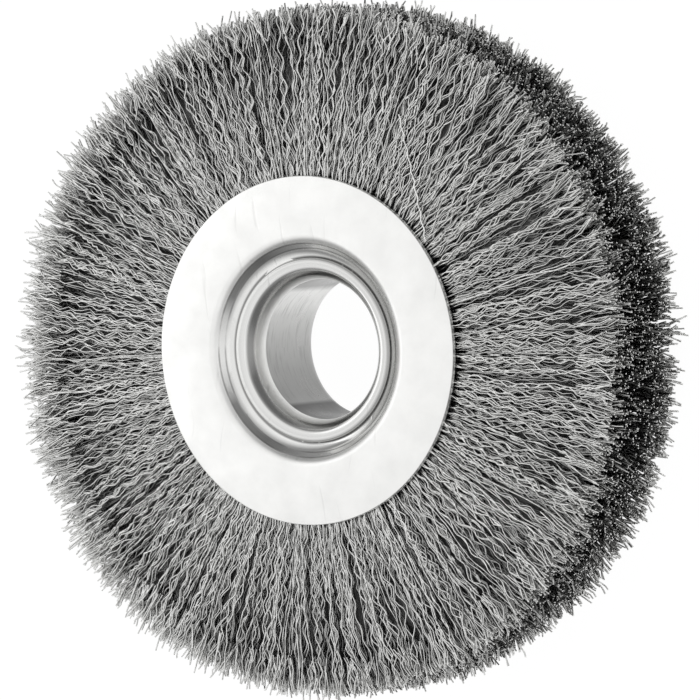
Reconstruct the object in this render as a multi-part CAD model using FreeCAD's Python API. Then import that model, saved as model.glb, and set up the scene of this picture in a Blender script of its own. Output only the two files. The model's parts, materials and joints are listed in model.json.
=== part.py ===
import FreeCAD, Part
import math
import os

# Wire wheel brush: rows of crimped steel wire, each folded over its own core ring, stacked between
# two dished side plates and held by a hub tube that is flared over both plates. The bore runs
# along Z, and the origin is on its axis at mid-width. Sizes are in millimetres.

# Brush as a whole
TIP_RADIUS = 62.5               # mean radius of the wire tips
BORE_RADIUS = 12.7
WIDTH_OVER_PLATES = 26.2        # outer face to outer face

# Side plates, pressed from sheet
PLATE_RADIUS = 31.5
PLATE_SHEET = 1.0
DISH_DEPTH = 2.85               # outer face down to the dish floor
DISH_MOUTH_RADIUS = 20.3
DISH_FLOOR_RADIUS = 17.2
DISH_MOUTH_BEND = 1.0           # how far the bend at the dish's mouth reaches along the plate
PLATE_ON_TUBE_CLEARANCE = 0.05

# Hub tube
TUBE_WALL = 2.3
BRIM_RADIUS = 16.2
BRIM_THICKNESS = 0.75
FLARE_MOUTH_RADIUS = 14.8
FLARE_SLOPE = math.radians(48.8)    # from the plane of the plates
BORE_ENTRY_BEVEL = 1.6          # length along the bore of the bend from each flare into the bore

# Wire rows
ROW_COUNT = 3
ROUND_FACETS = 20               # flats round each row's hole and core ring, which nothing shows
TUFT_COUNT = 52                 # tufts round each row, an even number
ROW_TO_PLATE_CLEARANCE = 0.02
ROW_TO_DISH_CLEARANCE = 0.2
TIP_SCATTER = 1.0               # how far single tufts end inside or beyond the mean tip radius
TIP_BEVEL = 1.4                 # how much lower a tuft's corners are than its point
CRIMP_PITCH = 7.0               # radial distance from one bend of a tuft to the next
CRIMP_HEIGHT = 0.75             # how far a bend stands to one side
DEEP_SPLIT_BENDS = 4            # bends along a split that runs in as far as the plates
SHALLOW_SPLIT_BENDS = 2
SPLIT_MOUTH = 1.5               # width of a split between two tufts at the tips
SIDE_SCATTER = 0.8              # how far a tuft leans out or in, across the brush, at its tips
SIDE_START_CLEARANCE = 0.4      # from a plate's edge or a deep split's end to where that lean starts

# Core rings, each inside the fold of its row
CORE_RING_BAR = 3.0
FOLD_THICKNESS = 1.6            # wire between the core ring and the inside of its row
CORE_RING_CLEARANCE = 0.05

GOLDEN_RATIO = (1 + math.sqrt(5)) / 2

half_width = WIDTH_OVER_PLATES / 2
plate_inside = half_width - PLATE_SHEET
dish_floor = half_width - DISH_DEPTH
dish_slope = math.atan2(DISH_DEPTH, DISH_MOUTH_RADIUS - DISH_FLOOR_RADIUS)
bend_shift = PLATE_SHEET * math.tan(dish_slope / 2)
tube_radius = BORE_RADIUS + TUBE_WALL
brim_face = dish_floor + BRIM_THICKNESS
outer_row_side = plate_inside - ROW_TO_PLATE_CLEARANCE
row_thickness = 2 * outer_row_side / ROW_COUNT
row_inner_radius = DISH_MOUTH_RADIUS + bend_shift + ROW_TO_DISH_CLEARANCE
core_ring_radius = row_inner_radius + FOLD_THICKNESS + CORE_RING_BAR / 2
tuft_angle = 2 * math.pi / TUFT_COUNT
tip_corner = TIP_RADIUS - TIP_BEVEL
deep_split_end = tip_corner - DEEP_SPLIT_BENDS * CRIMP_PITCH
side_start_radius = max(deep_split_end, PLATE_RADIUS) + SIDE_START_CLEARANCE


def point(radius, height):
    """A point of a turned profile."""
    return FreeCAD.Vector(radius, 0, height)


def revolved(profile):
    """Solid of revolution about Z of a closed profile."""
    face = Part.Face(Part.makePolygon(profile + profile[:1]))
    return face.revolve(FreeCAD.Vector(0, 0, 0), FreeCAD.Vector(0, 0, 1), 360)


def bevelled(before, corner, after, length):
    """The two ends of a bevel that takes a corner off a profile, each this far from the corner."""
    return [
        corner + (before - corner).normalize() * length,
        corner + (after - corner).normalize() * length,
    ]


def front_plate():
    """Side plate: a flat disc whose middle is dished inwards, with a hole for the hub tube."""
    dish_back = dish_floor - PLATE_SHEET
    hole_radius = tube_radius + PLATE_ON_TUBE_CLEARANCE
    edge = point(PLATE_RADIUS, half_width)
    mouth = point(DISH_MOUTH_RADIUS, half_width)
    floor_edge = point(DISH_FLOOR_RADIUS, dish_floor)
    return revolved([
        edge,
        *bevelled(edge, mouth, floor_edge, DISH_MOUTH_BEND),
        floor_edge,
        point(hole_radius, dish_floor),
        point(hole_radius, dish_back),
        point(DISH_FLOOR_RADIUS + bend_shift, dish_back),
        point(DISH_MOUTH_RADIUS + bend_shift, plate_inside),
        point(PLATE_RADIUS, plate_inside),
    ])


def hub_tube():
    """Tube through the bore, flared at both ends, with each end's brim rolled on a dish floor."""
    bore_middle = point(BORE_RADIUS, 0)
    flare_depth = (FLARE_MOUTH_RADIUS - BORE_RADIUS) * math.tan(FLARE_SLOPE)
    flare_end = point(BORE_RADIUS, brim_face - flare_depth)
    flare_mouth = point(FLARE_MOUTH_RADIUS, brim_face)
    upper = [
        *bevelled(bore_middle, flare_end, flare_mouth, BORE_ENTRY_BEVEL),
        flare_mouth,
        point(BRIM_RADIUS, brim_face),
        point(BRIM_RADIUS, dish_floor),
        point(tube_radius, dish_floor),
    ]
    lower = [point(corner.x, -corner.z) for corner in reversed(upper)]
    return revolved(upper + lower)


def polar(radius, angle, height=0.0):
    return FreeCAD.Vector(radius * math.cos(angle), radius * math.sin(angle), height)


def slab(outline, bottom, top):
    """Flat solid with this outline, between two heights."""
    base = [FreeCAD.Vector(corner.x, corner.y, bottom) for corner in outline]
    return Part.Face(Part.makePolygon(base + base[:1])).extrude(FreeCAD.Vector(0, 0, top - bottom))


def faceted_disc(radius, bottom, top):
    """Disc with flats in place of its round edge, each flat touching the radius."""
    corner = radius / math.cos(math.pi / ROUND_FACETS)
    corners = [polar(corner, 2 * math.pi * i / ROUND_FACETS) for i in range(ROUND_FACETS)]
    return slab(corners, bottom, top)


def core_ring(middle, spare=0.0):
    """Ring bent from bar, around a height; spare thickens it on every side, for its hollow."""
    half_bar = CORE_RING_BAR / 2 + spare
    bottom, top = middle - half_bar, middle + half_bar
    outside = faceted_disc(core_ring_radius + half_bar, bottom, top)
    return outside.cut(faceted_disc(core_ring_radius - half_bar, bottom, top))


def scattered(number):
    """A share from -1 to 1 that jumps about evenly as the number counts up."""
    return 2 * (number * GOLDEN_RATIO % 1) - 1


def split_end(angle, bends):
    """The closed end of a crimped split."""
    radius = tip_corner - bends * CRIMP_PITCH
    return polar(radius, angle + CRIMP_HEIGHT * (-1) ** bends / radius)


def split_side(angle, bends, side):
    """One side of a crimped split, from its closed end outwards; side 0 is its middle line."""
    length = bends * CRIMP_PITCH
    points = []
    for bend in range(1, bends + 1):
        radius = tip_corner - (bends - bend) * CRIMP_PITCH
        opening = side * SPLIT_MOUTH / 2 * bend * CRIMP_PITCH / length
        crimp = CRIMP_HEIGHT * (-1) ** (bends - bend)
        points.append(polar(radius, angle + (crimp + opening) / radius))
    return points


def row_outline(turn, deep_bends):
    """Outline of a row: crimped tufts with ragged points, parted by deep and shallow splits."""
    points = []
    for tuft in range(TUFT_COUNT):
        angle = (tuft + turn) * tuft_angle
        bends = SHALLOW_SPLIT_BENDS if tuft % 2 else deep_bends
        tip_radius = TIP_RADIUS + TIP_SCATTER * scattered(tuft + 1 + TUFT_COUNT * turn)
        points += reversed(split_side(angle, bends, -1))
        points.append(split_end(angle, bends))
        points += split_side(angle, bends, 1)
        points.append(polar(tip_radius, angle + tuft_angle / 2))
    return points


def leaning_side(turn, side):
    """What is cut from an outer row: level by the plate, then sloped over each pair of tufts."""
    level = side * outer_row_side
    beyond = side * half_width
    reach = TIP_RADIUS + TIP_SCATTER + SPLIT_MOUTH
    corner_reach = reach / math.cos(tuft_angle)
    splits = [(2 * pair + turn) * tuft_angle for pair in range(TUFT_COUNT // 2)]
    cuts = [slab([split_end(angle, DEEP_SPLIT_BENDS) for angle in splits], level, beyond)]
    for pair, first in enumerate(splits):
        middle = first + tuft_angle
        last = middle + tuft_angle
        sector = [
            split_end(first, DEEP_SPLIT_BENDS),
            *split_side(first, DEEP_SPLIT_BENDS, 0),
            polar(corner_reach, first),
            polar(corner_reach, last),
            *reversed(split_side(last, DEEP_SPLIT_BENDS, 0)),
            split_end(last, DEEP_SPLIT_BENDS),
        ]
        lean = side * SIDE_SCATTER * scattered(pair + 1 + TUFT_COUNT * turn)
        above = [
            polar(0, middle, level),
            polar(side_start_radius, middle, level),
            polar(reach, middle, level + lean),
            polar(reach, middle, beyond),
            polar(0, middle, beyond),
        ]
        across = polar(reach, middle + math.pi / 2)
        face = Part.Face(Part.makePolygon([corner - across for corner in above + above[:1]]))
        cuts.append(face.extrude(across * 2).common(slab(sector, level - side * SIDE_SCATTER, beyond)))
    return cuts


def wire_row(row, middle):
    """One row of crimped wire, solid at its fold and parted into tufts outside the plates."""
    bottom, top = middle - row_thickness / 2, middle + row_thickness / 2
    turn = row / ROW_COUNT
    cuts = [faceted_disc(row_inner_radius, -half_width, half_width), core_ring(middle, CORE_RING_CLEARANCE)]
    deep_bends = SHALLOW_SPLIT_BENDS
    if row == 0:
        cuts += leaning_side(turn, -1)
        bottom, deep_bends = -half_width, DEEP_SPLIT_BENDS
    if row == ROW_COUNT - 1:
        cuts += leaning_side(turn, 1)
        top, deep_bends = half_width, DEEP_SPLIT_BENDS
    return slab(row_outline(turn, deep_bends), bottom, top).cut(cuts)


def turned_over(solid):
    """The same piece at the other side of the brush."""
    rear = solid.copy()
    rear.rotate(FreeCAD.Vector(0, 0, 0), FreeCAD.Vector(1, 0, 0), 180)
    return rear


pieces = {
    "front_side_plate": front_plate(),
    "rear_side_plate": turned_over(front_plate()),
    "hub_tube": hub_tube(),
}
for row in range(ROW_COUNT):
    row_middle = (row - (ROW_COUNT - 1) / 2) * row_thickness
    pieces[f"wire_row_{row + 1}"] = wire_row(row, row_middle)
    pieces[f"core_ring_{row + 1}"] = core_ring(row_middle)

os.makedirs("parts", exist_ok=True)
for name, piece in pieces.items():
    piece.exportStep(f"parts/{name}.step")
    print(name, "valid", piece.isValid(), "volume", round(piece.Volume, 1))
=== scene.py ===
import json
import math

import bmesh
import bpy
from mathutils import Matrix, Vector


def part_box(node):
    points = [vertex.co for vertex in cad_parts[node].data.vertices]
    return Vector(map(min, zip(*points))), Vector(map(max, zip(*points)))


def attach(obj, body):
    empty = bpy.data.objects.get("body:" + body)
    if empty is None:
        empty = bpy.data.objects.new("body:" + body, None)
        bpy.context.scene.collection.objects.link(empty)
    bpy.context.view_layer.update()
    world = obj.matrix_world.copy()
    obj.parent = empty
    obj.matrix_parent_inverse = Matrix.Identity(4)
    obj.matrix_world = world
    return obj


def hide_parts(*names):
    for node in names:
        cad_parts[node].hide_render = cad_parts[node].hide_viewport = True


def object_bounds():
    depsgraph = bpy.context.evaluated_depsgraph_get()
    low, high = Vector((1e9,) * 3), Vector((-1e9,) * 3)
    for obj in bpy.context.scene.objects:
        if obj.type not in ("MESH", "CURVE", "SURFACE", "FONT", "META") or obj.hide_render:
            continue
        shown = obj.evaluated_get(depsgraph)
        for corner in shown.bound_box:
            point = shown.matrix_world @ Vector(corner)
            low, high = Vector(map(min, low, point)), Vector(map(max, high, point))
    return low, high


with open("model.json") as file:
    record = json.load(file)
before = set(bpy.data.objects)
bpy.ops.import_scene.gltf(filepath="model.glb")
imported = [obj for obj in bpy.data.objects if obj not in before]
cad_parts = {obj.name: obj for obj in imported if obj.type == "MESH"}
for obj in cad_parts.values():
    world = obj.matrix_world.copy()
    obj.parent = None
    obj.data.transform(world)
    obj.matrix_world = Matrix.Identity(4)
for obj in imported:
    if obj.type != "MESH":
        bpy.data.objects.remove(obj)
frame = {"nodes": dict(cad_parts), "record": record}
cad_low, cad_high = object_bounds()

MM = 0.001


# Side plates. Two discs pressed from 1 mm zinc-plated steel sheet, with the middle dished inwards.
# They clamp the wire from both sides, and the hub tube's brims hold them in their dishes.

def bend(before, corner, after, radius):
    """Points of the arc that rounds a corner of a turned outline, more of them on a larger bend."""
    steps = 3 + min(6, round(radius / (0.3 * MM)))
    before, corner, after = Vector(before), Vector(corner), Vector(after)
    back = (before - corner).normalized()
    on = (after - corner).normalized()
    half_angle = back.angle(on) / 2
    centre = corner + (back + on).normalized() * radius / math.sin(half_angle)
    start = corner + back * radius / math.tan(half_angle) - centre
    turn = start.angle_signed(corner + on * radius / math.tan(half_angle) - centre)
    return [centre + Matrix.Rotation(-turn * i / steps, 2) @ start for i in range(steps + 1)]


def rounded(corners):
    """Closed outline of (radius, height) points, from corners of (radius, height, bend radius)."""
    outline = []
    for i, (radius, height, bend_radius) in enumerate(corners):
        before = corners[i - 1][:2]
        after = corners[(i + 1) % len(corners)][:2]
        outline += bend(before, (radius, height), after, bend_radius)
    return outline


def turned(name, outline):
    """A piece turned about Z from a closed outline of (radius, height) points."""
    facets = 180
    sharp_angle = math.radians(25)
    mesh = bmesh.new()
    rings = []
    for i in range(facets):
        angle = 2 * math.pi * i / facets
        rings.append([mesh.verts.new((r * math.cos(angle), r * math.sin(angle), z)) for r, z in outline])
    for ring, following in zip(rings, rings[1:] + rings[:1]):
        for i in range(len(outline)):
            mesh.faces.new((ring[i - 1], following[i - 1], following[i], ring[i]))
    bmesh.ops.recalc_face_normals(mesh, faces=mesh.faces)
    for edge in mesh.edges:
        edge.smooth = edge.calc_face_angle() < sharp_angle
    for face in mesh.faces:
        face.smooth = True
    data = bpy.data.meshes.new(name)
    mesh.to_mesh(data)
    mesh.free()
    piece = bpy.data.objects.new(name, data)
    bpy.context.collection.objects.link(piece)
    return piece


def plate_outline(side):
    """Section of a side plate; side is 1 at the front and -1 at the rear."""
    sheet = 1.0 * MM
    floor_depth = 2.85 * MM
    mouth_radius = 20.3 * MM
    floor_radius = 17.2 * MM
    hole_radius = 15.05 * MM
    burr_round = 0.18 * MM
    mouth_bend = 1.8 * MM
    mouth_back_bend = 1.6 * MM
    floor_bend = 3.6 * MM
    low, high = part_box("front_side_plate")
    slope = math.atan2(floor_depth, mouth_radius - floor_radius)
    shift = sheet * math.tan(slope / 2)
    outline = rounded([
        (high.x, high.z, burr_round),
        (mouth_radius, high.z, mouth_bend),
        (floor_radius, high.z - floor_depth, floor_bend),
        (hole_radius, high.z - floor_depth, burr_round),
        (hole_radius, low.z, burr_round),
        (floor_radius + shift, low.z, floor_bend + sheet),
        (mouth_radius + shift, high.z - sheet, mouth_back_bend),
        (high.x, high.z - sheet, burr_round),
    ])
    return [(radius, side * height) for radius, height in outline]


def new_material(name):
    """An empty surface, its tree and its Principled shader."""
    material = bpy.data.materials.new(name)
    material.use_nodes = True
    tree = material.node_tree
    return material, tree, tree.nodes["Principled BSDF"]


def new_group(name, kind, inputs, outputs):
    """An empty node group with these sockets: its tree, what it is given and what it puts out."""
    tree = bpy.data.node_groups.new(name, kind)
    for in_out, sockets in (("INPUT", inputs), ("OUTPUT", outputs)):
        for title, value_kind in sockets.items():
            tree.interface.new_socket(title, in_out=in_out, socket_type=f"NodeSocket{value_kind}")
    return tree, tree.nodes.new("NodeGroupInput").outputs, tree.nodes.new("NodeGroupOutput")


def socket(sockets, key):
    """The socket with this number, or the one in use with this name."""
    if isinstance(key, int):
        return sockets[key]
    return next(s for s in sockets if s.enabled and s.name == key)


def feed(tree, node, inputs):
    """Sets a node's inputs, each to a number, a colour, a vector or another node's socket."""
    for key, value in inputs.items():
        wanted = socket(node.inputs, key)
        if isinstance(value, bpy.types.NodeSocket):
            tree.links.new(value, wanted)
        else:
            wanted.default_value = value


def add(tree, kind, inputs=None, **settings):
    """A new node with these inputs and settings."""
    node = tree.nodes.new(kind)
    for name, value in settings.items():
        setattr(node, name, value)
    feed(tree, node, inputs or {})
    return node


def maths(tree, operation, *values):
    """The result of one operation on numbers."""
    return add(tree, "ShaderNodeMath", dict(enumerate(values)), operation=operation).outputs[0]


def vectors(tree, operation, *values, result="Vector"):
    """The result of one operation on vectors."""
    return add(tree, "ShaderNodeVectorMath", dict(enumerate(values)), operation=operation).outputs[result]


def plus(tree, *values):
    """The sum of several values."""
    total = values[0]
    for value in values[1:]:
        total = maths(tree, "ADD", total, value)
    return total


def minus(tree, value, taken):
    """One value less another."""
    return maths(tree, "SUBTRACT", value, taken)


def times(tree, *values):
    """The product of several values."""
    product = values[0]
    for value in values[1:]:
        product = maths(tree, "MULTIPLY", product, value)
    return product


def combined(tree, x, y, z=0.0):
    """A vector from its three parts."""
    return add(tree, "ShaderNodeCombineXYZ", {0: x, 1: y, 2: z}).outputs[0]


def reach(tree, vector, direction):
    """How far a vector reaches in a direction."""
    return vectors(tree, "DOT_PRODUCT", vector, direction, result="Value")


def ranged(tree, value, low, high, new_low=0.0, new_high=1.0):
    """A value carried from one range to another, and kept inside it."""
    inputs = {"Value": value, "From Min": low, "From Max": high, "To Min": new_low, "To Max": new_high}
    return add(tree, "ShaderNodeMapRange", inputs).outputs[0]


def mixed(tree, share, first, second):
    """A colour between two colours, at a share of the way."""
    node = add(tree, "ShaderNodeMix", {"Factor": share, "A": first, "B": second}, data_type="RGBA")
    return socket(node.outputs, "Result")


def noise(tree, place, scale, detail=4.0, roughness=0.55):
    """Cloudy noise from 0 to 1."""
    inputs = {"Vector": place, "Scale": scale, "Detail": detail, "Roughness": roughness}
    return add(tree, "ShaderNodeTexNoise", inputs).outputs["Fac"]


def bumped(tree, height, strength, depth):
    """The normal of a surface with this fine relief."""
    return add(tree, "ShaderNodeBump", {"Height": height, "Strength": strength, "Distance": depth}).outputs[0]


def grey(level):
    """A grey of metal, faintly warm."""
    return (level, level, level * 0.985, 1.0)


def spot(tree):
    """Where a point of a surface is: its place, and the place's X, Y and Z."""
    place = add(tree, "ShaderNodeTexCoord").outputs["Object"]
    parts = add(tree, "ShaderNodeSeparateXYZ", {0: place}).outputs
    return place, parts["X"], parts["Y"], parts["Z"]


def from_axis(tree, x, y):
    """How far a point is from the brush's axis."""
    return vectors(tree, "LENGTH", combined(tree, x, y), result="Value")


def turning_marks():
    """Shared effect: fine rings, handling scratches and mottling on a turned or pressed face."""
    tree, given, result = new_group(
        "turning marks", "ShaderNodeTree",
        {"Ring Scale": "Float", "Scratch Scale": "Float"},
        {"Rings": "Float", "Scratches": "Float", "Mottle": "Float"},
    )
    place, x, y, z = spot(tree)
    rings = noise(tree, combined(tree, from_axis(tree, x, y), z), given["Ring Scale"], 5.0, 0.7)
    mottle = noise(tree, place, 160.0, 6.0, 0.6)
    clouds = add(tree, "ShaderNodeTexNoise", {"Vector": place, "Scale": 55.0, "Detail": 1.0}).outputs["Color"]
    swayed = vectors(tree, "ADD", place, vectors(tree, "MULTIPLY", clouds, (0.012, 0.012, 0.0)))
    scratches = 0.0
    for turn in (0.4, 1.3, 2.5):
        stretched = {"Vector": swayed, "Rotation": (0, 0, turn), "Scale": (1.0, 0.07, 1.0)}
        laid = add(tree, "ShaderNodeMapping", stretched).outputs[0]
        line = ranged(tree, noise(tree, laid, given["Scratch Scale"], 2.0, 0.5), 0.69, 0.76)
        scratches = maths(tree, "MAXIMUM", scratches, line)
    feed(tree, result, {"Rings": rings, "Scratches": scratches, "Mottle": mottle})
    return tree


marks_group = turning_marks()


def zinc_plated():
    """Pale zinc plating: satin, faintly mottled and scratched, with painted shade on the dish and beside the
    brim and a painted dark reflection on the dish's slope.
    """
    burr_angle = 1.98
    material, tree, shader = new_material("zinc plated sheet")
    scales = {"Ring Scale": 900.0, "Scratch Scale": 700.0}
    marks = add(tree, "ShaderNodeGroup", scales, node_tree=marks_group).outputs
    place, x, y, z = spot(tree)
    radius = from_axis(tree, x, y)
    angle = maths(tree, "ARCTAN2", y, x)
    from_right = maths(tree, "ABSOLUTE", angle)
    cloud = ranged(tree, marks["Mottle"], 0.35, 0.68)
    base = mixed(tree, cloud, grey(0.875), grey(0.935))

    # The dish, smoother, with painted shade that darkens it towards the left
    in_dish = ranged(tree, radius, 19.0 * MM, 19.9 * MM, 1.0, 0.0)
    dish_shade_left = times(tree, in_dish, ranged(tree, from_right, 1.9, 2.4, 0.03, 0.35))
    base = mixed(tree, dish_shade_left, base, grey(0.6))

    # Painted dark reflection on a band of the dish's slope, strongest at the upper and lower left
    band = times(tree, ranged(tree, radius, 18.3 * MM, 18.6 * MM),
                 ranged(tree, radius, 19.3 * MM, 19.5 * MM, 1.0, 0.0))
    slope_dark_reflection = times(tree, band, ranged(tree, from_right, 1.6, 2.1, 0.04, 0.75),
                   ranged(tree, from_right, 2.6, 2.8, 1.0, 0.1))
    base = mixed(tree, slope_dark_reflection, base, grey(0.16))

    # Two fine lines that the press left on the slope, broken here and there
    outer_line = maths(tree, "ABSOLUTE", minus(tree, radius, 19.32 * MM))
    inner_line = maths(tree, "ABSOLUTE", minus(tree, radius, 18.42 * MM))
    lines = ranged(tree, maths(tree, "MINIMUM", outer_line, inner_line), 0.05 * MM, 0.17 * MM, 1.0, 0.0)
    broken = ranged(tree, noise(tree, place, 90.0, 3.0), 0.42, 0.56, 0.15, 1.0)
    base = mixed(tree, times(tree, lines, broken, 0.65), base, grey(0.2))

    # Painted shade in the gap beside the tube's brim, left out at one place where a ragged burr covers it
    brim_gap_shade = ranged(tree, radius, 16.9 * MM, 17.2 * MM, 1.0, 0.0)
    from_burr = maths(tree, "ABSOLUTE", minus(tree, angle, burr_angle))
    ragged = times(tree, minus(tree, noise(tree, place, 1100.0), 0.5), 1.2 * MM)
    burr_edge = plus(tree, ranged(tree, from_burr, 0.02, 0.26, 17.7 * MM, 16.6 * MM), ragged)
    burr = ranged(tree, minus(tree, burr_edge, radius), -0.04 * MM, 0.04 * MM)
    brim_gap_shade = times(tree, brim_gap_shade, minus(tree, 1.0, burr))
    base = mixed(tree, times(tree, brim_gap_shade, 0.85), base, grey(0.14))

    # Scratches over all of it, and the fine relief
    base = mixed(tree, times(tree, marks["Scratches"], 0.25), base, grey(0.6))
    rough = ranged(tree, marks["Mottle"], 0.3, 0.7, 0.44, 0.34)
    rough = minus(tree, rough, times(tree, in_dish, 0.24))
    relief = plus(tree, times(tree, marks["Rings"], 0.25), times(tree, marks["Scratches"], -0.6),
                  times(tree, marks["Mottle"], 0.8))
    normal = bumped(tree, relief, 0.22, 0.1 * MM)
    feed(tree, shader, {"Base Color": base, "Metallic": 1.0, "Roughness": rough, "Normal": normal})
    return material


zinc = zinc_plated()
for node, side in (("front_side_plate", 1), ("rear_side_plate", -1)):
    plate = turned(node.replace("side_plate", "pressed_plate"), plate_outline(side))
    plate.data.materials.append(zinc)
    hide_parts(node)
    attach(plate, "root")


# Hub tube. One steel tube through both plates, turned bright inside; each end is flared and its
# brim rolled flat on the plate's dish floor, so that it holds the whole brush together.

def tube_outline():
    """Section of the hub tube, the same at both ends."""
    tube_radius = 15.0 * MM
    flare_mouth = 14.8 * MM
    flare_depth = 2.4 * MM
    brim_roll = 0.5 * MM
    brim_thickness = 0.75 * MM
    bore_bend = 5.0 * MM
    mouth_bend = 1.3 * MM
    brim_back_bend = 0.2 * MM
    inner_corner_bend = 0.05 * MM
    bore_radius = frame["record"]["mounts"][0]["dims"]["r_mm"] * MM
    low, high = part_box("hub_tube")
    brim_radius = high.x + brim_roll
    under_brim = high.z - brim_thickness
    corners = [
        (bore_radius, high.z - flare_depth, bore_bend),
        (flare_mouth, high.z, mouth_bend),
        (brim_radius, high.z, brim_roll),
        (brim_radius, under_brim, brim_back_bend),
        (tube_radius, under_brim, inner_corner_bend),
    ]
    return rounded(corners + [(r, -z, bend_radius) for r, z, bend_radius in reversed(corners)])


def bright_steel():
    """Turned and rolled steel: polished at the flare, rougher and scuffed where the spindle slides, with
    painted light and shade round the bore, a painted highlight at the bore's mouth and painted shade on the
    flare's slope and the brim's edge.
    """
    material, tree, shader = new_material("bright hub steel")
    scales = {"Ring Scale": 1500.0, "Scratch Scale": 500.0}
    marks = add(tree, "ShaderNodeGroup", scales, node_tree=marks_group).outputs
    place, x, y, z = spot(tree)

    # The straight bore: painted light and shade round it, lighter towards +X and +Y, with a painted light
    # band and two painted dark bands across Y, and scuffed lengthwise
    front_bend = ranged(tree, z, 6.6 * MM, 6.9 * MM)
    rear_bend = ranged(tree, z, -9.6 * MM, -9.3 * MM, 1.0, 0.0)
    in_bore = minus(tree, 1.0, maths(tree, "MAXIMUM", front_bend, rear_bend))
    towards_bore_light = reach(tree, place, (0.6, 0.8, 0.0))
    bore_shade_and_scuffs = mixed(tree, ranged(tree, towards_bore_light, -12.5 * MM, 8.0 * MM), grey(0.28), grey(0.9))
    bore_shade_and_scuffs = mixed(tree, ranged(tree, y, 6.0 * MM, 7.8 * MM, 0.0, 0.3), bore_shade_and_scuffs, grey(0.9))
    bore_shade_and_scuffs = mixed(tree, ranged(tree, y, 10.2 * MM, 11.2 * MM, 0.0, 0.7), bore_shade_and_scuffs, grey(0.14))
    bore_shade_and_scuffs = mixed(tree, ranged(tree, y, -10.4 * MM, -9.8 * MM, 0.9, 0.0), bore_shade_and_scuffs, grey(0.05))
    lengthwise = combined(tree, maths(tree, "ARCTAN2", y, x), times(tree, z, 900.0))
    scuffs = ranged(tree, noise(tree, lengthwise, 2.2, 4.0, 0.6), 0.52, 0.72, 0.0, 0.45)
    bore_shade_and_scuffs = mixed(tree, scuffs, bore_shade_and_scuffs, grey(0.16))
    base = mixed(tree, ranged(tree, marks["Rings"], 0.35, 0.65), grey(0.70), grey(0.84))
    base = mixed(tree, in_bore, base, bore_shade_and_scuffs)

    # The bend at the bore's mouth, with a painted highlight, and painted shade on the slope of the flare
    # above it
    mouth = times(tree, front_bend, ranged(tree, z, 8.6 * MM, 9.6 * MM, 1.0, 0.0))
    base = mixed(tree, mouth, base, grey(0.98))
    flare = times(tree, ranged(tree, z, 9.2 * MM, 9.6 * MM, 0.0, 0.75),
                  ranged(tree, z, 10.3 * MM, 10.6 * MM, 1.0, 0.0))
    base = mixed(tree, flare, base, grey(0.3))

    # Painted shade on the brim's rolled edge
    brim_edge_shade = ranged(tree, from_axis(tree, x, y), 16.0 * MM, 16.4 * MM, 0.0, 0.6)
    base = mixed(tree, brim_edge_shade, base, grey(0.2))

    # Scratches over all of it, and the turning marks' relief
    base = mixed(tree, times(tree, marks["Scratches"], 0.3), base, grey(0.3))
    rough = plus(tree, ranged(tree, marks["Mottle"], 0.3, 0.7, 0.13, 0.24),
                 times(tree, in_bore, 0.12), times(tree, mouth, 0.28))
    relief = plus(tree, times(tree, marks["Rings"], 0.4), times(tree, marks["Scratches"], -0.7))
    normal = bumped(tree, relief, 0.2, 0.05 * MM)
    feed(tree, shader, {"Base Color": base, "Metallic": 1.0, "Roughness": rough, "Normal": normal})
    return material


tube = turned("flared_hub_tube", tube_outline())
tube.data.materials.append(bright_steel())
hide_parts("hub_tube")
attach(tube, "root")


# Core rings. Plain steel bar bent into rings, one inside the fold of each wire row, where the
# plates hide them. They stay as the solids are, with the scale and oil of unfinished bar.

def bar_steel():
    """Unfinished bar: dark, with oily patches."""
    material, tree, shader = new_material("core ring bar")
    place = add(tree, "ShaderNodeTexCoord").outputs["Object"]
    patches = noise(tree, place, 240.0, 5.0, 0.6)
    base = mixed(tree, ranged(tree, patches, 0.35, 0.65), grey(0.18), grey(0.42))
    rough = ranged(tree, patches, 0.3, 0.7, 0.6, 0.35)
    feed(tree, shader, {"Base Color": base, "Metallic": 0.9, "Roughness": rough})
    return material


ring_steel = bar_steel()
for number in (1, 2, 3):
    frame["nodes"][f"core_ring_{number}"].material_slots[0].material = ring_steel


# Wires of the two faces. Crimped 0.3 mm steel wire, folded over the core rings and clamped between
# the plates. The outer wires of the front and rear rows stand free from the plates' edge outwards:
# a dense layer, a looser one over it, and at the front some strays.

def wire_steel():
    """Drawn wire, slightly oily: no two wires quite alike, with painted shade on the wires deeper in."""
    material, tree, shader = new_material("crimped steel wire")
    tone = add(tree, "ShaderNodeAttribute", attribute_name="wire tone").outputs["Fac"]
    along = add(tree, "ShaderNodeAttribute", attribute_name="along wire").outputs["Fac"]
    cut_end = ranged(tree, along, 0.985, 0.998)

    # Painted shade: the wires are painted dark deeper in the faces and in the rim's middle, and pale on the
    # open faces and round the rim
    place, x, y, z = spot(tree)
    height = maths(tree, "ABSOLUTE", z)
    open_face = ranged(tree, height, 9.9 * MM, 11.6 * MM)
    open_rim = ranged(tree, from_axis(tree, x, y), 58.8 * MM, 61.8 * MM)
    shoulder = ranged(tree, height, 4.0 * MM, 11.0 * MM, 0.36, 1.0)
    unshaded = maths(tree, "MAXIMUM", open_face, times(tree, open_rim, shoulder))

    # The wire's own tone under the painted shade, smears of oil and a bare cut end
    smear = noise(tree, place, 900.0, 3.0, 0.6)
    base = mixed(tree, unshaded, grey(0.29), mixed(tree, tone, grey(0.77), grey(1.0)))
    base = mixed(tree, ranged(tree, smear, 0.52, 0.75, 0.0, 0.3), base, grey(0.25))
    base = mixed(tree, cut_end, base, grey(0.97))
    rough = plus(tree, ranged(tree, smear, 0.3, 0.7, 0.17, 0.32), times(tree, cut_end, 0.2))
    normal = bumped(tree, noise(tree, place, 6000.0, 2.0, 0.5), 0.2, 0.02 * MM)
    feed(tree, shader, {"Base Color": base, "Metallic": 1.0, "Roughness": rough, "Normal": normal})
    return material


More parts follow.
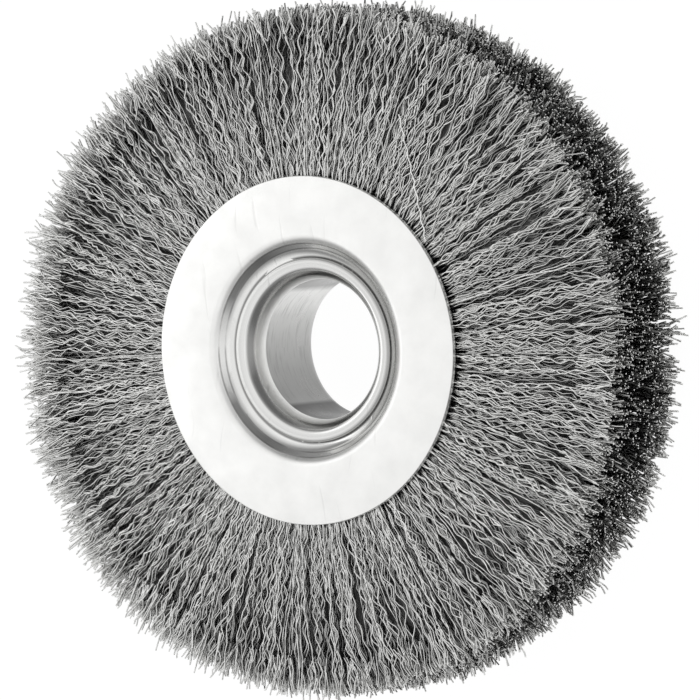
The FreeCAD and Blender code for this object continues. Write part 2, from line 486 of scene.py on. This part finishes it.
def crimped_wires():
    """Tree that lays out crimped wires like spokes: strands of a few wires that share one crimp.

    Lean turns each strand aside by chance and Wander bends it in a long wave. Tufting and Flow turn
    it aside with its neighbours. Bulge lifts its middle, and Drop lets its tip fall over the rim.
    """
    tree, given, result = new_group("crimped wires", "GeometryNodeTree", {
        "Wires": "Int", "Strand Size": "Int", "Segments": "Int", "Seed": "Int",
        "Root Radius": "Float", "Tip Radius": "Float", "Tip Scatter": "Float", "Stray Length": "Float",
        "Low": "Float", "High": "Float", "Crimp Height": "Float", "Crimp Length": "Float",
        "Wire Radius": "Float", "Strand Width": "Float", "Lean": "Float", "Wander": "Float",
        "Tufting": "Float", "Flow": "Float", "Bulge": "Float", "Drop": "Float", "Material": "Material",
    }, {"Geometry": "Geometry"})
    golden_angle = math.pi * (3 - math.sqrt(5))
    full_turn = 2 * math.pi
    longest_tip = 65.6 * MM
    oval_height, oval_turn = 1.1 * MM, 0.39
    fuller_height, fuller_angle = 0.6 * MM, 3.95
    face_up = math.radians(30)

    # One straight line for each wire, to be bent later
    points = add(tree, "GeometryNodePoints", {"Count": given["Wires"]}).outputs[0]
    line = add(tree, "GeometryNodeCurvePrimitiveLine", {"End": (1.0, 0.0, 0.0)}).outputs[0]
    stops = plus(tree, given["Segments"], 1)
    line = add(tree, "GeometryNodeResampleCurve", {"Curve": line, "Count": stops}).outputs[0]
    placed = add(tree, "GeometryNodeInstanceOnPoints", {"Points": points, "Instance": line}).outputs[0]
    lines = add(tree, "GeometryNodeRealizeInstances", {"Geometry": placed}).outputs[0]
    wire = add(tree, "GeometryNodeCurveOfPoint").outputs["Curve Index"]
    strand = maths(tree, "FLOOR", maths(tree, "DIVIDE", wire, given["Strand Size"]))
    share = add(tree, "GeometryNodeSplineParameter").outputs["Factor"]
    draws = iter(range(1, 100))

    def drawn(owner, low, high):
        """The next random number of each wire or strand, the same on each run."""
        seed = plus(tree, given["Seed"], next(draws))
        inputs = {"Min": low, "Max": high, "ID": owner, "Seed": seed}
        node = add(tree, "FunctionNodeRandomValue", inputs, data_type="FLOAT")
        return socket(node.outputs, "Value")

    # Where each strand starts, and the tufts, flow and ragged ends that it shares with its neighbours
    strand_angle = plus(tree, times(tree, strand, golden_angle), drawn(strand, -0.02, 0.02))
    height = drawn(strand, given["Low"], given["High"])
    strand_spot = combined(tree, maths(tree, "COSINE", strand_angle), maths(tree, "SINE", strand_angle),
                           times(tree, height, 9.0))

    def uneven(scale, detail, roughness):
        """Noise from -0.5 to 0.5 that changes from strand to strand."""
        return minus(tree, noise(tree, strand_spot, scale, detail, roughness), 0.5)

    tuft = times(tree, uneven(20.0, 2.0, 0.5), given["Tufting"])
    flow = times(tree, uneven(3.5, 1.0, 0.5), given["Flow"])
    ragged = times(tree, uneven(12.0, 3.0, 0.65), 2.6)

    # How far each wire reaches: slightly oval and fuller at one side, with longer strays at the left
    oval = plus(tree, times(tree, strand_angle, 2.0), -oval_turn)
    oval = times(tree, maths(tree, "COSINE", oval), oval_height)
    fuller = times(tree, maths(tree, "COSINE", plus(tree, strand_angle, -fuller_angle)), fuller_height)
    scatter = plus(tree, drawn(strand, -0.7, 0.7), drawn(wire, -0.5, 0.5), ragged)
    left = ranged(tree, maths(tree, "COSINE", strand_angle), -0.9, -0.2, 1.5, 0.6)
    stray = times(tree, maths(tree, "POWER", drawn(wire, 0.0, 1.0), 9.0), given["Stray Length"], left)
    tip = plus(tree, given["Tip Radius"], times(tree, scatter, given["Tip Scatter"]), stray,
               plus(tree, oval, fuller))
    tip = maths(tree, "MINIMUM", tip, longest_tip)
    root = minus(tree, given["Root Radius"], drawn(wire, 0.0, 2.0 * MM))
    radius = plus(tree, root, times(tree, share, minus(tree, tip, root)))

    # The crimp, held back near the plates' edge, and a longer wander
    held = ranged(tree, radius, 30.5 * MM, 34.0 * MM, 0.12, 1.0)
    phase = plus(tree, drawn(strand, 0.0, full_turn), drawn(wire, -0.8, 0.8))
    pitch = times(tree, given["Crimp Length"], drawn(strand, 0.88, 1.14))
    turns = plus(tree, times(tree, maths(tree, "DIVIDE", radius, pitch), full_turn), phase)
    crimp = times(tree, maths(tree, "SINE", turns), given["Crimp Height"], drawn(strand, 0.6, 1.2), held)
    plane = plus(tree, drawn(strand, 0.0, full_turn), drawn(wire, -0.3, 0.3))
    long_pitch = drawn(strand, 13.0 * MM, 24.0 * MM)
    long_turns = plus(tree, times(tree, maths(tree, "DIVIDE", radius, long_pitch), full_turn),
                      drawn(strand, 0.0, full_turn))
    wander = times(tree, maths(tree, "SINE", long_turns), given["Wander"], drawn(strand, 0.2, 1.0), share)

    # Sideways, round the brush
    narrowing = minus(tree, 1.0, times(tree, share, 0.4))
    beside = times(tree, drawn(wire, -1.0, 1.0), given["Strand Width"], narrowing)
    above = times(tree, drawn(wire, -0.6, 0.6), given["Strand Width"])
    lean = times(tree, drawn(strand, -1.0, 1.0), drawn(strand, 0.0, 1.0), given["Lean"], 2.0)
    sideways = plus(tree, times(tree, crimp, maths(tree, "COSINE", plane)), wander, beside,
                    times(tree, share, plus(tree, lean, flow)), times(tree, share, share, tuft))
    angle = plus(tree, strand_angle, maths(tree, "DIVIDE", sideways, radius))

    # Up and down, along the brush's axis; some strands drop over the rim's edge
    belly = plus(tree, 1.0, times(tree, share, minus(tree, 1.0, share), given["Bulge"]))
    rise = times(tree, drawn(strand, -0.5, 0.5), share, 2.0 * MM)
    dropped = times(tree, height, given["Drop"], drawn(strand, 0.0, 1.0), drawn(strand, 0.0, -1.0),
                    share, share, share)
    level = plus(tree, times(tree, height, belly), times(tree, crimp, maths(tree, "SINE", plane)), rise,
                 dropped, times(tree, above, held))
    position = combined(tree, times(tree, radius, maths(tree, "COSINE", angle)),
                        times(tree, radius, maths(tree, "SINE", angle)), level)
    bent = add(tree, "GeometryNodeSetPosition", {"Geometry": lines, "Position": position}).outputs[0]

    def marked(geometry, name, value):
        """The geometry with a named value on its points."""
        inputs = {"Geometry": geometry, "Name": name, "Value": value}
        node = add(tree, "GeometryNodeStoreNamedAttribute", inputs, data_type="FLOAT", domain="POINT")
        return node.outputs[0]

    # The wire itself: three-sided, with a flat side up and closed ends
    toned = marked(bent, "wire tone", times(tree, drawn(wire, 0.0, 1.0), drawn(strand, 0.5, 1.0)))
    toned = marked(toned, "along wire", share)
    upright = add(tree, "GeometryNodeSetCurveNormal", {"Curve": toned}, mode="Z_UP").outputs[0]
    rolled = add(tree, "GeometryNodeSetCurveTilt", {"Curve": upright, "Tilt": face_up}).outputs[0]
    circle = {"Resolution": 3, "Radius": given["Wire Radius"]}
    section = add(tree, "GeometryNodeCurvePrimitiveCircle", circle).outputs[0]
    swept = {"Curve": rolled, "Profile Curve": section, "Fill Caps": True}
    solid = add(tree, "GeometryNodeCurveToMesh", swept).outputs[0]
    corner_count = add(tree, "GeometryNodeInputMeshFaceNeighbors").outputs["Vertex Count"]
    long_faces = maths(tree, "GREATER_THAN", corner_count, 3.0)
    smooth = add(tree, "GeometryNodeSetShadeSmooth", {"Geometry": solid, "Selection": long_faces}).outputs[0]
    whole = add(tree, "GeometryNodeRealizeInstances", {"Geometry": smooth}).outputs[0]
    finished = add(tree, "GeometryNodeSetMaterial", {"Geometry": whole, "Material": given["Material"]})
    feed(tree, result, {"Geometry": finished.outputs[0]})
    return tree


wire_tree = crimped_wires()
wire_finish = wire_steel()


def brush_wire(name, carrier):
    """A piece of the brush's wire: the plain mesh that a carrier object comes out as."""
    bpy.context.collection.objects.link(carrier)
    evaluated = carrier.evaluated_get(bpy.context.evaluated_depsgraph_get())
    data = bpy.data.meshes.new_from_object(evaluated)
    bpy.data.objects.remove(carrier)
    data.name = name
    piece = bpy.data.objects.new(name, data)
    bpy.context.collection.objects.link(piece)
    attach(piece, "root")
    return piece


def wires(name, sizes):
    """One plain mesh of crimped wires, made by the tree above with these inputs."""
    carrier = bpy.data.objects.new(name + "_carrier", bpy.data.meshes.new(name + "_carrier"))
    modifier = carrier.modifiers.new("wires", "NODES")
    modifier.node_group = wire_tree
    for item in wire_tree.interface.items_tree:
        if item.in_out == "INPUT":
            modifier[item.identifier] = sizes[item.name]
    return brush_wire(name, carrier)


# A three-sided wire of this radius looks as thick as a round one of 0.15 mm radius
crimped = {"Wire Radius": 0.178 * MM, "Crimp Height": 0.46 * MM, "Crimp Length": 4.5 * MM,
           "Tip Scatter": 1.1 * MM, "Stray Length": 2.8 * MM, "Strand Width": 0.6 * MM,
           "Material": wire_finish}
on_face = {**crimped, "Strand Size": 2, "Root Radius": 30.5 * MM, "Bulge": 0.1}
dense = {**on_face, "Segments": 22, "Wander": 0.6 * MM, "Lean": 1.6 * MM, "Tufting": 0.9 * MM,
         "Flow": 1.2 * MM, "Drop": 0.9}
looser = {**on_face, "Segments": 36, "Wander": 0.9 * MM, "Lean": 2.8 * MM, "Tufting": 1.3 * MM,
          "Flow": 2.2 * MM, "Drop": 0.7}
single = {**on_face, "Strand Size": 1, "Segments": 36, "Wander": 1.2 * MM, "Lean": 5.0 * MM,
          "Tufting": 2.0 * MM, "Flow": 3.2 * MM, "Drop": 0.5}

for face, side, row, tip_radius, dense_count, looser_count in (
        ("front", 1, "wire_row_3", 62.4 * MM, 1400, 900), ("rear", -1, "wire_row_1", 63.3 * MM, 588, 378)):
    under = wires(f"{face}_wires_1", {
        **dense, "Wires": dense_count, "Seed": 14 + 7 * side, "Tip Radius": tip_radius,
        "Low": side * 9.4 * MM, "High": side * 11.0 * MM})
    over = wires(f"{face}_wires_2", {
        **looser, "Wires": looser_count, "Seed": 100 + 7 * side, "Tip Radius": tip_radius,
        "Low": side * 10.6 * MM, "High": side * 11.8 * MM})
    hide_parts(row)
    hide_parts(row)
strays = wires("front_wires_3", {
    **single, "Wires": 200, "Seed": 41, "Tip Radius": 61.6 * MM, "Low": 11.4 * MM, "High": 12.2 * MM})
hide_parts("wire_row_3")


# Slipped wires. Two wires of the front row that have slipped from their places and lie slantwise
# over the others, at the left of the plate and above it.

def slipped_wire(name, stops):
    """One crimped wire that lies over the front face through these (X, Y) places in millimetres."""
    wire_radius = 0.15 * MM
    lying_height = 12.4 * MM
    crimp_height = 0.22 * MM
    crimp_turn = 2.1
    steps_per_leg = 12
    tone = 0.5
    stops = [Vector((x * MM, y * MM)) for x, y in stops]
    data = bpy.data.curves.new(name + "_path", "CURVE")
    data.dimensions = "3D"
    data.bevel_depth = wire_radius
    data.bevel_resolution = 1
    data.use_fill_caps = True
    path = data.splines.new("POLY")
    steps = steps_per_leg * (len(stops) - 1)
    path.points.add(steps)
    for i in range(steps + 1):
        leg = min(i // steps_per_leg, len(stops) - 2)
        start, end = stops[leg], stops[leg + 1]
        across = (end - start).normalized().orthogonal() * crimp_height
        place = start.lerp(end, i / steps_per_leg - leg) + across * math.sin(crimp_turn * i)
        path.points[i].co = (place.x, place.y, lying_height, 1.0)
    piece = brush_wire(name, bpy.data.objects.new(name + "_path", data))
    tones = [tone] * len(piece.data.vertices)
    piece.data.attributes.new("wire tone", "FLOAT", "POINT").data.foreach_set("value", tones)
    piece.data.materials.append(wire_finish)


slipped_wire("slipped_wire_1", [(-30.4, 5.6), (-37.0, 10.9), (-40.9, 14.2), (-45.2, 18.5), (-49.5, 21.4)])
slipped_wire("slipped_wire_2", [(26.0, 19.5), (23.6, 31.0), (21.0, 42.0)])


# Rim wires. The cut ends of all three rows, of the same wire, packed side by side over the whole
# width of the rim. Only their last 5 mm stand clear of the fill.

on_rim = {**crimped, "Wires": 7900, "Strand Size": 2, "Segments": 3, "Low": -12.3 * MM, "High": 12.1 * MM,
          "Root Radius": 57.5 * MM, "Tip Radius": 62.5 * MM, "Wander": 0.3 * MM, "Lean": 2.0 * MM,
          "Tufting": 3.2 * MM, "Flow": 3.0 * MM, "Bulge": 0.0, "Drop": 0.0}
for half in (1, 2):
    tips = wires(f"rim_wires_{half}", {**on_rim, "Seed": 500 * half})
    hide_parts("wire_row_2")


# Packed wire. Inside the fill the same wire lies too tight to see between, from the core rings out
# to where the tips part. This body stands for it and closes the fill behind the free wires.

def packed_wire():
    """Body of packed wires, painted dark for the shade deep in the fill, and streaked like spokes."""
    material, tree, shader = new_material("packed wire")
    place, x, y, z = spot(tree)
    spokes = combined(tree, maths(tree, "ARCTAN2", y, x), times(tree, z, 12.0))
    streak = noise(tree, spokes, 120.0, 4.0, 0.7)
    # Painted shade: the packed wire is painted far darker than the free wire
    base = mixed(tree, ranged(tree, streak, 0.4, 0.65), grey(0.05), grey(0.24))
    rough = ranged(tree, streak, 0.3, 0.7, 0.7, 0.5)
    normal = bumped(tree, streak, 0.8, 0.3 * MM)
    feed(tree, shader, {"Base Color": base, "Metallic": 0.6, "Roughness": rough, "Normal": normal})
    return material


def pack_outline():
    """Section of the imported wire, inside the free wires all round."""
    inside, shoulder, outside = 21.2 * MM, 51.0 * MM, 57.0 * MM
    half_width, half_rim = 9.7 * MM, 6.8 * MM
    rear = [(inside, -half_width), (shoulder, -half_width), (outside, -half_rim)]
    return rear + [(r, -z) for r, z in reversed(rear)]


pack = turned("packed_wire", pack_outline())
pack.data.materials.append(packed_wire())
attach(pack, "root")


# Studio. A pale floor under the brush, a pale room around it, one soft light low at the left, and
# the camera where the photograph was taken from.

def pale_floor():
    """White to the camera and in reflections, while a weak shadow of the brush stays on it."""
    material, tree, shader = new_material("pale floor")
    feed(tree, shader, {"Base Color": (0.9, 0.9, 0.9, 1.0), "Roughness": 0.9})
    glow = add(tree, "ShaderNodeEmission", {"Color": (1.0, 1.0, 1.0, 1.0), "Strength": 1.06}).outputs[0]
    ray = add(tree, "ShaderNodeLightPath").outputs
    seen = maths(tree, "MAXIMUM", ray["Is Camera Ray"], ray["Is Glossy Ray"])
    seen = maths(tree, "MAXIMUM", seen, ray["Is Transmission Ray"])
    blend = add(tree, "ShaderNodeMixShader", {0: times(tree, seen, 0.9), 1: shader.outputs[0], 2: glow})
    feed(tree, tree.nodes["Material Output"], {"Surface": blend.outputs[0]})
    return material


floor_reach = 6.0
floor_height = cad_low.z - 0.1 * MM
floor_corners = [
    (-floor_reach, -floor_reach, floor_height), (floor_reach, -floor_reach, floor_height),
    (floor_reach, floor_reach, floor_height), (-floor_reach, floor_reach, floor_height),
]
floor_data = bpy.data.meshes.new("floor")
floor_data.from_pydata(floor_corners, [], [(0, 1, 2, 3)])
floor_data.materials.append(pale_floor())
floor = bpy.data.objects.new("floor", floor_data)
bpy.context.collection.objects.link(floor)


def soft_light(name, direction, distance, size, watts):
    """A square soft light aimed at the brush."""
    data = bpy.data.lights.new(name, "AREA")
    data.size = size
    data.energy = watts
    lamp = bpy.data.objects.new(name, data)
    direction = Vector(direction).normalized()
    lamp.location = direction * distance
    lamp.rotation_mode = "QUATERNION"
    lamp.rotation_quaternion = direction.to_track_quat("Z", "Y")
    bpy.context.collection.objects.link(lamp)


def studio_room():
    """A pale ceiling over darker walls, the right one brighter; white where the camera sees it."""
    world = bpy.data.worlds.new("studio")
    world.use_nodes = True
    tree = world.node_tree
    direction = add(tree, "ShaderNodeTexCoord").outputs["Generated"]
    ceiling = ranged(tree, reach(tree, direction, (-0.08, 0.0, 1.0)), 0.36, 0.76, 0.27, 0.96)
    right_wall = ranged(tree, reach(tree, direction, (0.88, -0.04, 0.47)), 0.86, 1.0, 0.0, 0.4)
    seen = add(tree, "ShaderNodeLightPath").outputs["Is Camera Ray"]
    level = maths(tree, "MAXIMUM", plus(tree, ceiling, right_wall), seen)
    feed(tree, tree.nodes["Background"], {"Color": level})
    return world


soft_light("key", direction=(-0.82, 0.15, 0.42), distance=1.0, size=0.8, watts=1.4)
bpy.context.scene.world = studio_room()

towards_camera = Vector((0.547, 0.040, 0.836)).normalized()
image_up = towards_camera.cross(Vector((1, 0, 0))).normalized()
image_right = image_up.cross(towards_camera)
camera_distance = 1.0
face_centre = Vector((0, 0, cad_high.z))
image_centre = face_centre + image_right * 8.19 * MM + image_up * 0.126 * MM
camera_turn = Matrix((image_right, image_up, towards_camera)).transposed().to_4x4()
camera_data = bpy.data.cameras.new("camera")
camera_data.lens = 285.8
camera = bpy.data.objects.new("camera", camera_data)
camera.matrix_world = Matrix.Translation(image_centre + towards_camera * camera_distance) @ camera_turn
bpy.context.collection.objects.link(camera)
bpy.context.scene.camera = camera
bpy.context.scene.view_settings.view_transform = "Standard"
